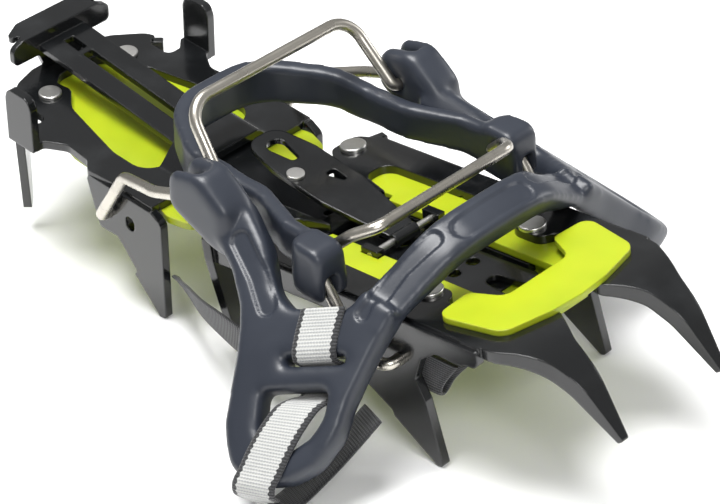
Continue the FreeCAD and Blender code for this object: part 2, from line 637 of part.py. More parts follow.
def bail_passage():
    """Room for the toe bail's leg to pass as the bar slides one hole, +Y side."""
    px, pz = TOE_PIN
    return upright([(px - 3.2, pz, 0), (px + 12.0, pz, 0), (px + 32.4, pz - 25.5, 0),
                    (px + 32.4, pz - 40.0, 0), (px + 14.0, pz - 40.0, 0)], 41.0, 6.0)


def heel_basket():
    """The basket that swings over the instep: wings, crown and clevis blocks."""
    px, pz = HEEL_PIN
    leg_room = box(px - 40.0, px + 12.0, 30.0, 40.6, pz - 20.0, pz + 30.0)
    wing = heel_wing().cut(heel_leg_gap()).cut(leg_room)
    pieces = [arch()]
    for shape in (wing, heel_block()):
        pieces.append(shape)
        pieces.append(mirror_y(shape))
    basket = fuse(pieces)
    for side in (1, -1):
        y0 = min(side * 40.0, side * WEB_CLEAR_Y)
        basket = basket.cut(box(24.0, 44.5, y0, y0 + WEB_CLEAR_Y - 40.0, 50.0, 74.0))
    passage = bail_passage()
    return basket.cut(passage).cut(mirror_y(passage))


# ---------------------------------------------------------------- toe basket
def toe_block():
    """The clevis block that the toe bail's pin runs through, on the +Y side."""
    px, pz = TOE_PIN
    block = upright([(px - 8.0, pz - 12.0, 4), (px - 8.0, pz + 5.0, 4),
                     (px + 6.0, pz + 6.0, 4), (px + 9.0, pz - 12.0, 4)], 37.3, 11.2)
    plan = flat([(px - 9.0, 37.3, 0), (px - 9.0, 44.0, 3), (px - 3.0, 48.3, 4),
                 (px + 10.0, 48.3, 4), (px + 10.0, 37.3, 0)], 0.0, 120.0)
    block = block.common(plan)
    gap = upright([(px - 2.8, pz + 2.9, 1), (px + 2.6, pz + 2.9, 1),
                   (px + 22.0, pz - 21.8, 0), (px + 22.0, pz - 40.0, 0),
                   (px - 9.0, pz - 40.0, 0), (px - 5.6, pz - 12.0, 0),
                   (px - 2.8, pz - 1.0, 0)], 41.4, 5.2)
    bore = cylinder(WIRE / 2 + HINGE_CLEARANCE, 14.0, V(px, 33.0, pz), V(0, 1, 0))
    return block.cut(gap).cut(bore)


def toe_basket():
    """The U-shaped band that wraps the toe, with its two clevis blocks."""
    outer = [(17.0, 41.0, 2), (8.0, 41.0, 8), (-10.0, 34.8, 20), (-44.0, 33.5, 24),
             (-70.0, 18.0, 22), (-70.0, -18.0, 22), (-44.0, -33.5, 24),
             (-10.0, -34.8, 20), (8.0, -41.0, 8), (17.0, -41.0, 2)]
    inner = [(17.0, -37.3, 1), (9.0, -37.0, 8), (-10.0, -30.0, 20), (-42.0, -28.8, 20),
             (-65.0, -15.0, 18), (-65.0, 15.0, 18), (-42.0, 28.8, 20),
             (-10.0, 30.0, 20), (9.0, 37.0, 8), (17.0, 37.3, 1)]
    band = flat(outer + inner, 60.0, 40.0)
    side = upright([(20.0, 71.0, 0), (-20.0, 69.5, 20), (-75.0, 64.0, 0),
                    (-75.0, 79.0, 0), (-20.0, 80.5, 20), (20.0, 84.0, 0)], -60.0, 120.0)
    band = band.common(side)
    block = toe_block()
    return fuse([band, block, mirror_y(block)])


# ---------------------------------------------------------------- webbing
def near_side(point):
    """Carries a point or direction of the +Y side over to the near side."""
    return V(point.x, -point.y, point.z)


def wing_station(along, out, lift, face, turn=0.0):
    """A strap section at a wing point; face leans from outward (1, 0) to lift (0, 1)."""
    _, forward, down = wing_plane()
    normal = forward.cross(down)
    a = math.radians(STRAP_TURN + turn)
    wide = forward * math.cos(a) + down * -math.sin(a)
    run = forward * math.sin(a) + down * math.cos(a)
    top = run * face[0] + normal * face[1]
    return (near_side(wing_point(along, out, lift)), near_side(wide), near_side(top))


def side_strap():
    """The loose strap: over the panel, through slot and loop, over the rim and back."""
    stations = [wing_station(-12.5, 6.0, 5.4, (0, 1)),
                wing_station(-8.6, 15.6, 5.2, (0, 1)),
                wing_station(-7.5, 17.8, 5.1, (0.4, 1)),
                wing_station(-6.4, 20.3, 3.0, (1, 0.4)),
                wing_station(-6.2, 20.6, 0.0, (1, 0)),
                wing_station(-6.0, 20.8, -3.2, (1, 0.2)),
                wing_station(-4.9, 22.6, -5.7, (0.6, 1)),
                wing_station(-3.8, 24.6, -6.0, (0, 1)),
                wing_station(-2.4, 28.6, -5.0, (-0.6, 1)),
                wing_station(-2.4, 31.2, -1.4, (-1, 0.6), -3),
                wing_station(-2.6, 34.6, 2.4, (-0.6, 1), -6),
                wing_station(-2.0, 42.0, 4.8, (-0.1, 1), -9),
                wing_station(-1.0, 50.0, 5.6, (0.05, 1), -11),
                wing_station(0.2, 57.0, 5.6, (0.1, 1), -11),
                wing_station(0.8, 61.4, 5.3, (0.4, 1), -11),
                wing_station(1.2, 63.6, 3.2, (1, 0.6), -11),
                wing_station(1.4, 64.3, -0.6, (1, 0), -11)]
    wide = V(0.86, -0.4, 0.3)
    for centre, face in TAIL:
        stations.append((V(*centre), wide, V(*face)))
    return ribbon(stations, WEBBING_WIDTH, WEBBING_THICKNESS)


def strap_stitching():
    """The bar tack across the middle of the strap's turned-back tail."""
    wide = V(0.86, -0.4, 0.3).normalize()
    face = V(*TAIL[4][1])
    face = (face - wide * face.dot(wide)).normalize()
    stations = []
    for share in (0.05, 0.95):
        low = V(*TAIL[3][0])
        high = V(*TAIL[4][0])
        centre = low + (high - low) * share
        stations.append((centre - face * (WEBBING_THICKNESS / 2 + 0.25), wide, face))
    return ribbon(stations, 2.6, 0.4)


def rear_strap():
    """The black run of webbing that twists as it passes behind the heel tooth."""
    stations = [(V(-58.0, -29.0, 18.5), V(-0.5, 0.6, -0.7), V(0.3, 1.0, 0.3)),
                (V(-44.0, -35.6, 24.0), V(-0.44, 0.46, -0.78), V(0.3, 1.0, 0.3)),
                (V(-30.0, -42.0, 28.4), V(-0.34, 0.34, -0.88), V(0.4, 1.0, 0.2)),
                (V(-16.0, -46.0, 31.6), V(-0.26, 0.24, -0.94), V(0.3, 1.0, 0.1)),
                (V(-4.0, -48.5, 33.4), V(-0.18, 0.18, -0.97), V(0.2, 1.0, 0.0)),
                (V(8.0, -50.0, 34.6), V(-0.12, 0.14, -0.99), V(0.1, 1.0, 0.0))]
    return ribbon(stations, WEBBING_WIDTH, WEBBING_THICKNESS)


def inner_strap():
    """The fold of webbing that hangs inside the near side point."""
    wide = V(1.0, 0.0, 0.12)
    stations = [(V(66.4, -27.5, 57.0), wide, V(0.0, 1.0, 0.2)),
                (V(60.6, -28.4, 47.0), wide, V(0.0, 1.0, 0.2)),
                (V(60.0, -29.4, 44.6), wide, V(0.0, 1.0, -0.8)),
                (V(60.0, -31.0, 43.8), wide, V(0.0, 0.0, -1.0)),
                (V(60.2, -32.6, 44.8), wide, V(0.0, -1.0, -0.8)),
                (V(60.8, -33.0, 47.4), wide, V(0.0, -1.0, 0.1)),
                (V(66.4, -32.4, 59.0), wide, V(0.0, -1.0, 0.1))]
    return ribbon(stations, WEBBING_WIDTH, WEBBING_THICKNESS)


# ---------------------------------------------------------------- whole crampon
def build():
    parts = {}
    parts["front_frame"] = front_frame()
    parts["front_antiball_plate"] = front_antiball_plate()
    parts["front_rivets"] = front_rivets()
    parts["bar_guide"] = bar_guide()
    parts["lever_pin"] = lever_pin()
    parts["lock_lever"] = lock_lever()
    parts["lock_stud"] = lock_stud()
    parts["lever_rivet"] = lever_rivet()
    parts["linking_bar"] = linking_bar()
    parts["heel_frame"] = heel_frame()
    parts["heel_antiball_plate"] = heel_antiball_plate()
    parts["heel_rivets"] = heel_rivets()
    parts["heel_bail_wire"] = heel_bail_wire()
    parts["toe_bail_wire"] = toe_bail_wire()
    parts["heel_basket"] = heel_basket()
    parts["toe_basket"] = toe_basket()
    parts["side_strap"] = side_strap()
    parts["strap_stitching"] = strap_stitching()
    parts["rear_strap"] = rear_strap()
    parts["inner_strap"] = inner_strap()
    return parts


def main():
    """Tips the crampon on to its points, centres it on the floor and saves it."""
    os.makedirs("parts", exist_ok=True)
    parts = build()
    for shape in parts.values():
        shape.rotate(V(0, 0, 0), V(0, 1, 0), STANCE_PITCH)
    bounds = Part.makeCompound(list(parts.values())).optimalBoundingBox(True, False)
    for name, shape in parts.items():
        shape.translate(V(-bounds.Center.x, -bounds.Center.y, -bounds.ZMin))
        shape.exportStep("parts/" + name + ".step")


main()
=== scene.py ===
"""The looks of a strap-on crampon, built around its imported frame."""
import logging
import math
from dataclasses import dataclass, field
from enum import Enum
from typing import Any, Sequence

import bpy
import numpy as np
from mathutils import Matrix, Vector
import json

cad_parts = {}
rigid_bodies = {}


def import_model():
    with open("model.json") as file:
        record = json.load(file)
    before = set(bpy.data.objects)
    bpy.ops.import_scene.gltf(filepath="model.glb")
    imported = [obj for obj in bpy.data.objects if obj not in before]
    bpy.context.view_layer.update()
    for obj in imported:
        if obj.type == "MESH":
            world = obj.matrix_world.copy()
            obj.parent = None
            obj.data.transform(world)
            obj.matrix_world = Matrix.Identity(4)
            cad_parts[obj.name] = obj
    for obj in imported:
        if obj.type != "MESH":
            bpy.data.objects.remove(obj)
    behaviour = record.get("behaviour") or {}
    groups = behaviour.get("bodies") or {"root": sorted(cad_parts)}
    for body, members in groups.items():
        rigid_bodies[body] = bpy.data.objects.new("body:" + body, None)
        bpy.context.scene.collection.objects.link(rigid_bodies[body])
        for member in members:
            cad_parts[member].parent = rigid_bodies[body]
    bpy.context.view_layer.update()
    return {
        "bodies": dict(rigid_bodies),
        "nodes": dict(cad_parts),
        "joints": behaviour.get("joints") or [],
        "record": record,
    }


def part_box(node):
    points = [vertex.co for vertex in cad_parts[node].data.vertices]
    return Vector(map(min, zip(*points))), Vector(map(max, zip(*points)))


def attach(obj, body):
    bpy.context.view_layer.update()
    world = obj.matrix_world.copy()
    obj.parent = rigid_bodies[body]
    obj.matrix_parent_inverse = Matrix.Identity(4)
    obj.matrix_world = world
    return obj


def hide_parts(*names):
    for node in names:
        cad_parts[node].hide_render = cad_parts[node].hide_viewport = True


LOG = logging.getLogger("crampon")
MM = 0.001
STRAP_TURN = 33.8            # degrees from the wing's length to the strap's width
STRAP_WIDTH = 15.0           # webbing sizes, in millimetres
STRAP_THICKNESS = 1.5
WELD_GAP = 0.00001           # metres between points of one corner in the frame's mesh
UNDERSIDE_SHIFT = 2.0        # added to U on a strap's underside
FLOOR_DROP = 0.0002          # keeps the floor just under the points' tips

Array = np.ndarray


# ------------------------------------------------------------------ drawing frame
@dataclass(frozen=True)
class Stance:
    """Carries millimetres of the level drawing frame into the standing row frame.

    The drawing frame has the heel plate level.  The row frame is tipped nose-down by
    pitch and moved so that the lever pin's middle falls where the frame has it.
    """

    pitch: float = 7.6
    lever_pin: tuple[float, float, float] = (19.5, 0.0, 62.6)

    def turn(self) -> Array:
        """The 3x3 rotation about +Y by the pitch."""
        a = math.radians(self.pitch)
        return np.array([[math.cos(a), 0.0, math.sin(a)], [0.0, 1.0, 0.0],
                         [-math.sin(a), 0.0, math.cos(a)]])

    def shift(self) -> Array:
        """The translation in metres: pin's place in the frame less its turned place."""
        low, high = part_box("lever_pin")
        middle = (np.array(low) + np.array(high)) / 2
        return middle - self.turn() @ np.array(self.lever_pin) * MM

    def place(self, points: Array) -> Array:
        """Row-frame metres of drawing millimetres: turn, scale, then shift."""
        return np.asarray(points, float) @ self.turn().T * MM + self.shift()

    def back(self, points: Array) -> Array:
        """Drawing millimetres of row-frame metres, the inverse of place."""
        return (np.asarray(points, float) - self.shift()) @ self.turn() / MM

    def matrix(self) -> Matrix:
        """The same carry as a 4x4 matrix for an object in metres."""
        m = Matrix([list(row) + [0.0] for row in self.turn()] + [[0.0] * 3 + [1.0]])
        m.translation = Vector([float(v) for v in self.shift()])
        return m


STANCE = Stance()


@dataclass(frozen=True)
class WingPlane:
    """The plane that each side wing of the heel basket lies in, on the +Y side."""

    origin: tuple[float, float, float] = (50.0, 45.0, 73.2)
    slope: tuple[float, float] = (-0.068, -0.961)

    def axes(self) -> Array:
        """Rows are the unit forward, outward and lift directions of the plane."""
        forward = np.array([1.0, 0.0, self.slope[0]])
        forward /= np.linalg.norm(forward)
        out = np.array([0.0, 1.0, self.slope[1]])
        out -= forward * (out @ forward)
        out /= np.linalg.norm(out)
        return np.stack([forward, out, np.cross(forward, out)])

    def point(self, along: float, out: float, lift: float) -> Array:
        """A point of the near side: origin plus the weighted axes, with Y turned over."""
        p = np.array(self.origin) + np.array([along, out, lift]) @ self.axes()
        return p * np.array([1.0, -1.0, 1.0])

    def local(self, points: Array) -> Array:
        """Along, outward and lift of drawing points, both sides folded on to +Y."""
        folded = points * np.array([1.0, 0.0, 1.0])
        folded[:, 1] = np.abs(points[:, 1])
        return (folded - np.array(self.origin)) @ self.axes().T


WING = WingPlane()


# ------------------------------------------------------------------ shader writing
class Value:
    """A shader socket that arithmetic can be written on."""

    def __init__(self, graph: "Graph", socket: Any) -> None:
        """Keeps the graph and the output socket."""
        self.graph = graph
        self.socket = socket

    def _math(self, operation: str, *values: Any) -> "Value":
        """Adds one Math node of that operation on the values."""
        return self.graph.add("ShaderNodeMath", {"operation": operation}, list(values))

    def __add__(self, other: Any) -> "Value":
        """Sum."""
        return self._math("ADD", self, other)

    def __radd__(self, other: Any) -> "Value":
        """Reflected sum."""
        return self._math("ADD", other, self)

    def __sub__(self, other: Any) -> "Value":
        """Difference."""
        return self._math("SUBTRACT", self, other)

    def __rsub__(self, other: Any) -> "Value":
        """Reflected difference."""
        return self._math("SUBTRACT", other, self)

    def __mul__(self, other: Any) -> "Value":
        """Product."""
        return self._math("MULTIPLY", self, other)

    def __rmul__(self, other: Any) -> "Value":
        """Reflected product."""
        return self._math("MULTIPLY", other, self)

    def __gt__(self, other: Any) -> "Value":
        """One where this is more than the other."""
        return self._math("GREATER_THAN", self, other)

    def sine(self) -> "Value":
        """Sine of the value."""
        return self._math("SINE", self)

    def larger(self, other: Any) -> "Value":
        """The larger of the two."""
        return self._math("MAXIMUM", self, other)

    def size(self) -> "Value":
        """Absolute value."""
        return self._math("ABSOLUTE", self)

    def fraction(self) -> "Value":
        """What is left above the whole number."""
        return self._math("FRACT", self)

    def clamp(self, low: float, high: float) -> "Value":
        """Held between low and high."""
        return self._math("MINIMUM", self._math("MAXIMUM", self, low), high)

    def step(self, start: float, end: float) -> "Value":
        """A smooth rise from 0 at start to 1 at end."""
        return self.graph.add("ShaderNodeMapRange",
                              {"interpolation_type": "SMOOTHSTEP", "clamp": True},
                              [self, start, end, 0.0, 1.0])


class Graph:
    """The nodes of one material."""

    def __init__(self, name: str) -> None:
        """Makes an empty material with an output and a Principled shader."""
        self.material = bpy.data.materials.new(name)
        self.material.use_nodes = True
        self.tree = self.material.node_tree
        self.tree.nodes.clear()
        self.output = self.tree.nodes.new("ShaderNodeOutputMaterial")
        self.shader = self.tree.nodes.new("ShaderNodeBsdfPrincipled")
        self.tree.links.new(self.shader.outputs[0], self.output.inputs[0])

    def feed(self, socket: Any, value: Any) -> None:
        """Links a Value to a socket, or sets the socket to a plain value."""
        if isinstance(value, Value):
            self.tree.links.new(value.socket, socket)
        elif value is not None:
            socket.default_value = value

    def add(self, kind: str, settings: dict[str, Any], values: Any = (),
            out: Any = 0) -> Value:
        """Adds a node.

        Args:
            kind: The node's type.
            settings: Attributes set first; "stops" fills a colour ramp.
            values: Socket values or links, in order or by name.
            out: The output taken, by number or name.

        Returns:
            The chosen output as a Value.
        """
        node = self.tree.nodes.new(kind)
        for key, setting in settings.items():
            if key == "stops":
                self._stops(node.color_ramp, setting)
            else:
                setattr(node, key, setting)
        pairs = values.items() if isinstance(values, dict) else enumerate(values)
        for key, value in pairs:
            self.feed(node.inputs[key], value)
        return Value(self, node.outputs[out])

    @staticmethod
    def _stops(ramp: Any, stops: Sequence[tuple[float, tuple[float, ...]]]) -> None:
        """Fills a colour ramp with (place, colour) stops."""
        while len(ramp.elements) < len(stops):
            ramp.elements.new(0.5)
        for element, (place, colour) in zip(ramp.elements, stops):
            element.position = place
            element.color = (*colour, 1.0)

    def place(self) -> Value:
        """Object coordinates, in metres."""
        return self.add("ShaderNodeTexCoord", {}, out="Object")

    def noise(self, scale: float, detail: float = 3.0, rough: float = 0.55,
              stretch: tuple[float, float, float] = (1.0, 1.0, 1.0)) -> Value:
        """Noise on object coordinates; scale is in cycles per metre."""
        spot = self.add("ShaderNodeVectorMath", {"operation": "MULTIPLY"},
                        [self.place(), stretch])
        return self.add("ShaderNodeTexNoise", {},
                        {"Vector": spot, "Scale": scale, "Detail": detail,
                         "Roughness": rough}, "Fac")

    def blend(self, share: Any, first: Any, second: Any) -> Value:
        """Mixes two colours by share."""
        node = self.tree.nodes.new("ShaderNodeMix")
        node.data_type = "RGBA"
        for key, value in (("Factor_Float", share), ("A_Color", first),
                           ("B_Color", second)):
            socket = next(s for s in node.inputs if s.identifier == key)
            if isinstance(value, tuple):
                value = (*value, 1.0)
            self.feed(socket, value)
        result = next(s for s in node.outputs if s.identifier == "Result_Color")
        return Value(self, result)

    def bump(self, height: Value, distance: float, strength: float = 1.0,
             normal: Any = None) -> Value:
        """A bump of that height in metres, over an optional normal."""
        return self.add("ShaderNodeBump", {},
                        {"Strength": strength, "Distance": distance,
                         "Height": height, "Normal": normal})

    def soft_edges(self, radius: float) -> Value:
        """The normal with its sharp edges rounded by radius in metres."""
        return self.add("ShaderNodeBevel", {"samples": 6}, {"Radius": radius})

    def dress(self, **sockets: Any) -> bpy.types.Material:
        """Sets Principled sockets, named with _ for a space, and returns the material."""
        for key, value in sockets.items():
            if isinstance(value, tuple) and len(value) == 3:
                value = (*value, 1.0)
            self.feed(self.shader.inputs[key.replace("_", " ")], value)
        return self.material


# ------------------------------------------------------------------ finishes
@dataclass(frozen=True)
class BlackSteel:
    """Gloss black enamel over sheet steel, with a faint orange peel."""

    name: str = "black_steel"
    colour: tuple[float, float, float] = (0.004, 0.0045, 0.005)
    worn: tuple[float, float, float] = (0.010, 0.011, 0.012)
    edge: float = 0.0009
    gloss: float = 0.16

    def make(self) -> bpy.types.Material:
        """Builds the material."""
        g = Graph(self.name)
        cloud = g.noise(55.0, 4.0)
        peel = g.noise(900.0, 2.0)
        tone = g.blend(cloud.step(0.45, 0.8), self.colour, self.worn)
        rough = self.gloss + 0.12 * cloud.step(0.35, 0.8)
        normal = g.bump(peel, 0.00002, 0.6, g.soft_edges(self.edge))
        return g.dress(Base_Color=tone, Roughness=rough, Normal=normal, Metallic=0.0,
                       IOR=1.55, Coat_Weight=0.25, Coat_Roughness=0.12)


@dataclass(frozen=True)
class LimePlastic:
    """Soft lime polyurethane with a satin gloss and slow colour drift."""

    name: str = "lime_plastic"
    bright: tuple[float, float, float] = (0.40, 0.47, 0.014)
    deep: tuple[float, float, float] = (0.28, 0.36, 0.008)

    def make(self) -> bpy.types.Material:
        """Builds the material."""
        g = Graph(self.name)
        drift = g.noise(28.0, 2.0)
        grain = g.noise(1400.0, 2.0)
        tone = g.blend(drift.step(0.3, 0.75), self.bright, self.deep)
        rough = 0.26 + 0.14 * drift
        normal = g.bump(grain + drift * 6.0, 0.00004, 0.5, g.soft_edges(0.0008))
        return g.dress(Base_Color=tone, Roughness=rough, Normal=normal, IOR=1.5,
                       Subsurface_Weight=0.12, Subsurface_Scale=0.002)


@dataclass(frozen=True)
class BrightMetal:
    """Stainless steel: drawn wire or turned rivet heads."""

    name: str
    colour: tuple[float, float, float] = (0.56, 0.53, 0.47)
    gloss: float = 0.24
    stretch: tuple[float, float, float] = (1.0, 1.0, 1.0)

    def make(self) -> bpy.types.Material:
        """Builds the material."""
        g = Graph(self.name)
        cloud = g.noise(90.0, 4.0, 0.6, self.stretch)
        scratch = g.noise(1500.0, 2.0, 0.5, self.stretch)
        shade = tuple(c * 0.72 for c in self.colour)
        tone = g.blend(cloud.step(0.35, 0.75), self.colour, shade)
        rough = self.gloss + 0.18 * cloud.step(0.3, 0.8)
        normal = g.bump(scratch, 0.00003, 0.5, g.soft_edges(0.0004))
        return g.dress(Base_Color=tone, Roughness=rough, Normal=normal, Metallic=1.0)


@dataclass(frozen=True)
class BasketPlastic:
    """Moulded slate-blue nylon, satin with a fine spark grain."""

    name: str = "basket_plastic"
    colour: tuple[float, float, float] = (0.018, 0.022, 0.032)
    pale: tuple[float, float, float] = (0.026, 0.031, 0.043)

    def make(self) -> bpy.types.Material:
        """Builds the material."""
        g = Graph(self.name)
        cloud = g.noise(40.0, 3.0)
        grain = g.noise(2200.0, 3.0)
        tone = g.blend(cloud.step(0.3, 0.8), self.colour, self.pale)
        rough = 0.30 + 0.12 * cloud + 0.05 * grain
        return g.dress(Base_Color=tone, Roughness=rough, IOR=1.52,
                       Normal=g.bump(grain, 0.00004, 0.55))


class Weave(Enum):
    """The two faces that the webbing shows."""

    PALE = "webbing_pale"
    BLACK = "webbing_black"


@dataclass(frozen=True)
class Webbing:
    """Ribbed webbing with a dark underside, saw-tooth dark edges and painted shade in its rib
    valleys.

    The UV map runs 0 to 1 across the top face and 2 to 3 across the underside, and in
    widths along.
    """

    weave: Weave
    ribs: float = 15.0
    teeth: float = 8.0

    def make(self) -> bpy.types.Material:
        """Builds the material: ribs across with painted shade in their valleys, a saw-tooth
        black edge and a yarn grain.
        """
        g = Graph(self.weave.value)
        spot = g.add("ShaderNodeUVMap", {"uv_map": "UVMap"})
        parts = g.tree.nodes.new("ShaderNodeSeparateXYZ")
        g.feed(parts.inputs[0], spot)
        spread = Value(g, parts.outputs[0])
        under = spread > UNDERSIDE_SHIFT - 0.5
        across = spread - under * UNDERSIDE_SHIFT
        along = Value(g, parts.outputs[1])
        turn = 2.0 * math.pi
        rib = (along * self.ribs * turn).sine()
        yarn = (across * 15.0 * turn + (along * self.ribs * 0.5 * turn).sine() * 1.4).sine()
        # The weave's height drives the bump and also paints shade into the rib valleys below.
        weave = rib * 0.5 + yarn * 0.22
        tooth = ((along * self.teeth).fraction() - 0.5).size()
        reach = (across - 0.5).size() * 2.0 + tooth * 0.16
        border = reach.step(0.79, 0.81)
        dirt = g.noise(160.0, 4.0)
        # Lit and shaded tones of each face: rib tops take the lit tone and rib valleys a
        # painted shade. The shaded tone is also the colour that random dirt darkens towards.
        if self.weave is Weave.PALE:
            light, shade = (0.50, 0.50, 0.48), (0.31, 0.32, 0.32)
        else:
            light, shade = (0.060, 0.062, 0.066), (0.010, 0.010, 0.011)
        body = g.blend(weave.step(-0.55, 0.25), shade, light)
        body = g.blend(dirt.step(0.35, 0.8) * 0.25, body, shade)
        # The dark border and underside yarn, with painted shade in the rib valleys and
        # lighter rib tops.
        dark_yarn_painted_rib_shade = g.blend(rib.step(-1.0, 1.0), (0.006, 0.006, 0.007),
                            (0.030, 0.031, 0.034))
        tone = g.blend(border.larger(under), body, dark_yarn_painted_rib_shade)
        normal = g.bump(weave, 0.00016, 0.8)
        return g.dress(Base_Color=tone, Roughness=0.78, Normal=normal,
                       Sheen_Weight=0.3)


# ------------------------------------------------------------------ mesh writing
def shade(mesh: bpy.types.Mesh) -> None:
    """Sets every face of a mesh smooth."""
    mesh.polygons.foreach_set("use_smooth", np.ones(len(mesh.polygons), dtype=bool))


def add_piece(name: str, mesh: bpy.types.Mesh, material: bpy.types.Material,
              body: str, nodes: Sequence[str]) -> bpy.types.Object:
    """Puts a finished mesh into the scene and ties it to the frame.

    Args:
        name: The piece's name.
        mesh: Its mesh, in row-frame metres.
        material: Its finish.
        body: The body that it rides on.
        nodes: The frame nodes that it stands for.

    Returns:
        The new object.
    """
    mesh.materials.clear()
    mesh.materials.append(material)
    piece = bpy.data.objects.new(name, mesh)
    bpy.context.scene.collection.objects.link(piece)
    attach(piece, body)
    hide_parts(*nodes)
    LOG.info("%s: %d faces on %s", name, len(mesh.polygons), body)
    return piece


def grid_mesh(name: str, rings: Array, across: Array, along: Array) -> bpy.types.Mesh:
    """A closed tube from rings of points, with end caps and a UV map.

    Each quad joins ring i to ring i + 1 and column j to column j + 1, wrapping at the
    last column; each cap is one polygon.

    Args:
        name: The mesh's name.
        rings: Points of shape (rings, columns, 3), in metres.
        across: One U value per column.
        along: One V value per ring.

    Returns:
        The mesh.
    """
    count, columns = rings.shape[:2]
    i, j = np.meshgrid(np.arange(count - 1), np.arange(columns), indexing="ij")
    k = (j + 1) % columns
    quads = np.stack([i * columns + j, i * columns + k, (i + 1) * columns + k,
                      (i + 1) * columns + j], axis=-1).reshape(-1, 4)
    first = np.arange(columns)[::-1]
    last = (count - 1) * columns + np.arange(columns)
    faces = quads.tolist() + [first.tolist(), last.tolist()]
    mesh = bpy.data.meshes.new(name)
    mesh.from_pydata(rings.reshape(-1, 3).tolist(), [], faces)
    corner = np.zeros(len(mesh.loops), dtype=np.int32)
    mesh.loops.foreach_get("vertex_index", corner)
    layer = mesh.uv_layers.new(name="UVMap")
    uv = np.stack([across[corner % columns], along[corner // columns]], axis=1)
    layer.data.foreach_set("uv", uv.astype(np.float32).ravel())
    shade(mesh)
    return mesh


def smooth_run(points: Array, samples: int) -> Array:
    """A smooth curve through points.

    Each span is a cubic whose end slopes are those of the chord between the two
    neighbouring points, weighted by span length, so that the curve neither loops nor
    overshoots.

    Args:
        points: Shape (count, width) values to pass through.
        samples: How many points come back, evenly spread over the chord length.

    Returns:
        Shape (samples, width).
    """
    gaps = np.linalg.norm(np.diff(points[:, :3], axis=0), axis=1)
    knots = np.concatenate([[0.0], np.cumsum(gaps)])
    slopes = np.gradient(points, knots, axis=0)
    t = np.linspace(0.0, knots[-1], samples)
    span = np.clip(np.searchsorted(knots, t, side="right") - 1, 0, len(gaps) - 1)
    h = gaps[span][:, None]
    s = ((t - knots[span]) / gaps[span])[:, None]
    a, b = points[span], points[span + 1]
    ma, mb = slopes[span] * h, slopes[span + 1] * h
    return ((2 * s**3 - 3 * s**2 + 1) * a + (s**3 - 2 * s**2 + s) * ma
            + (3 * s**2 - 2 * s**3) * b + (s**3 - s**2) * mb)


def segment_distance(points: Array, start: Array, end: Array) -> Array:
    """Each point's distance to the straight segment from start to end."""
    line = end - start
    share = np.clip((points - start) @ line / (line @ line), 0.0, 1.0)
    return np.linalg.norm(points - (start + share[:, None] * line), axis=1)


def ease(x: Array) -> Array:
    """The smooth step 3x^2 - 2x^3 of x held between 0 and 1."""
    x = np.clip(x, 0.0, 1.0)
    return x * x * (3.0 - 2.0 * x)


# ------------------------------------------------------------------ baskets
@dataclass(frozen=True)
class Pocket:
    """A long shallow hollow in a moulded face, along a segment, in millimetres."""

    start: tuple[float, float, float]
    end: tuple[float, float, float]
    radius: float
    depth: float
    wall: float = 0.9

    def press(self, points: Array) -> Array:
        """How deep the hollow is at each point: full inside, eased over its wall."""
        gap = segment_distance(points, np.array(self.start), np.array(self.end))
        return self.depth * ease((self.radius - gap) / self.wall)


@dataclass
class MouldedBasket:
    """A moulded basket: the frame's solid with its edges melted and its face pressed."""

    name: str
    node: str
    body: str
    voxel: float = 0.7
    melts: int = 60
    swell: float = 1.05
    pockets: list[Pocket] = field(default_factory=list)
    plane_pockets: list[Pocket] = field(default_factory=list)

    def melted(self, source: bpy.types.Object) -> bpy.types.Mesh:
        """A copy of the node, merged, remeshed to small cells and relaxed."""
        copy = bpy.data.objects.new(self.name + "_raw", source.data.copy())
        bpy.context.scene.collection.objects.link(copy)
        weld = copy.modifiers.new("weld", "WELD")
        weld.merge_threshold = WELD_GAP
        cells = copy.modifiers.new("cells", "REMESH")
        cells.mode = "VOXEL"
        cells.voxel_size = self.voxel * MM
        relax = copy.modifiers.new("relax", "SMOOTH")
        relax.factor = 0.5
        relax.iterations = self.melts
        graph = bpy.context.evaluated_depsgraph_get()
        mesh = bpy.data.meshes.new_from_object(copy.evaluated_get(graph))
        mesh.name = self.name
        bpy.data.objects.remove(copy)
        return mesh

    def press(self, mesh: bpy.types.Mesh) -> None:
        """Swells the mesh back to size along its normals and presses the pockets in."""
        count = len(mesh.vertices)
        spots = np.zeros(count * 3, dtype=np.float32)
        mesh.vertices.foreach_get("co", spots)
        spots = spots.reshape(-1, 3).astype(float)
        normals = np.zeros(count * 3, dtype=np.float32)
        mesh.vertex_normals.foreach_get("vector", normals)
        normals = normals.reshape(-1, 3).astype(float)
        drawn = STANCE.back(spots)
        folded = drawn.copy()
        folded[:, 1] = np.abs(folded[:, 1])
        move = np.full(count, self.swell)
        facing = ease(normals[:, 2] * 2.0)
        local = WING.local(drawn)
        depths = [pocket.press(folded) for pocket in self.pockets]
        depths += [pocket.press(local) for pocket in self.plane_pockets]
        if depths:
            move -= np.max(depths, axis=0) * facing
        spots += normals * (move * MM)[:, None]
        mesh.vertices.foreach_set("co", spots.astype(np.float32).ravel())
        mesh.update()
        shade(mesh)

    def build(self, frame: dict[str, Any], finish: bpy.types.Material) -> bpy.types.Object:
        """Makes the basket.

        Args:
            frame: The loaded frame.
            finish: The basket's material.

        Returns:
            The basket's object.
        """
        mesh = self.melted(frame["nodes"][self.node])
        self.press(mesh)
        return add_piece(self.name, mesh, finish, self.body,
                         [self.node])


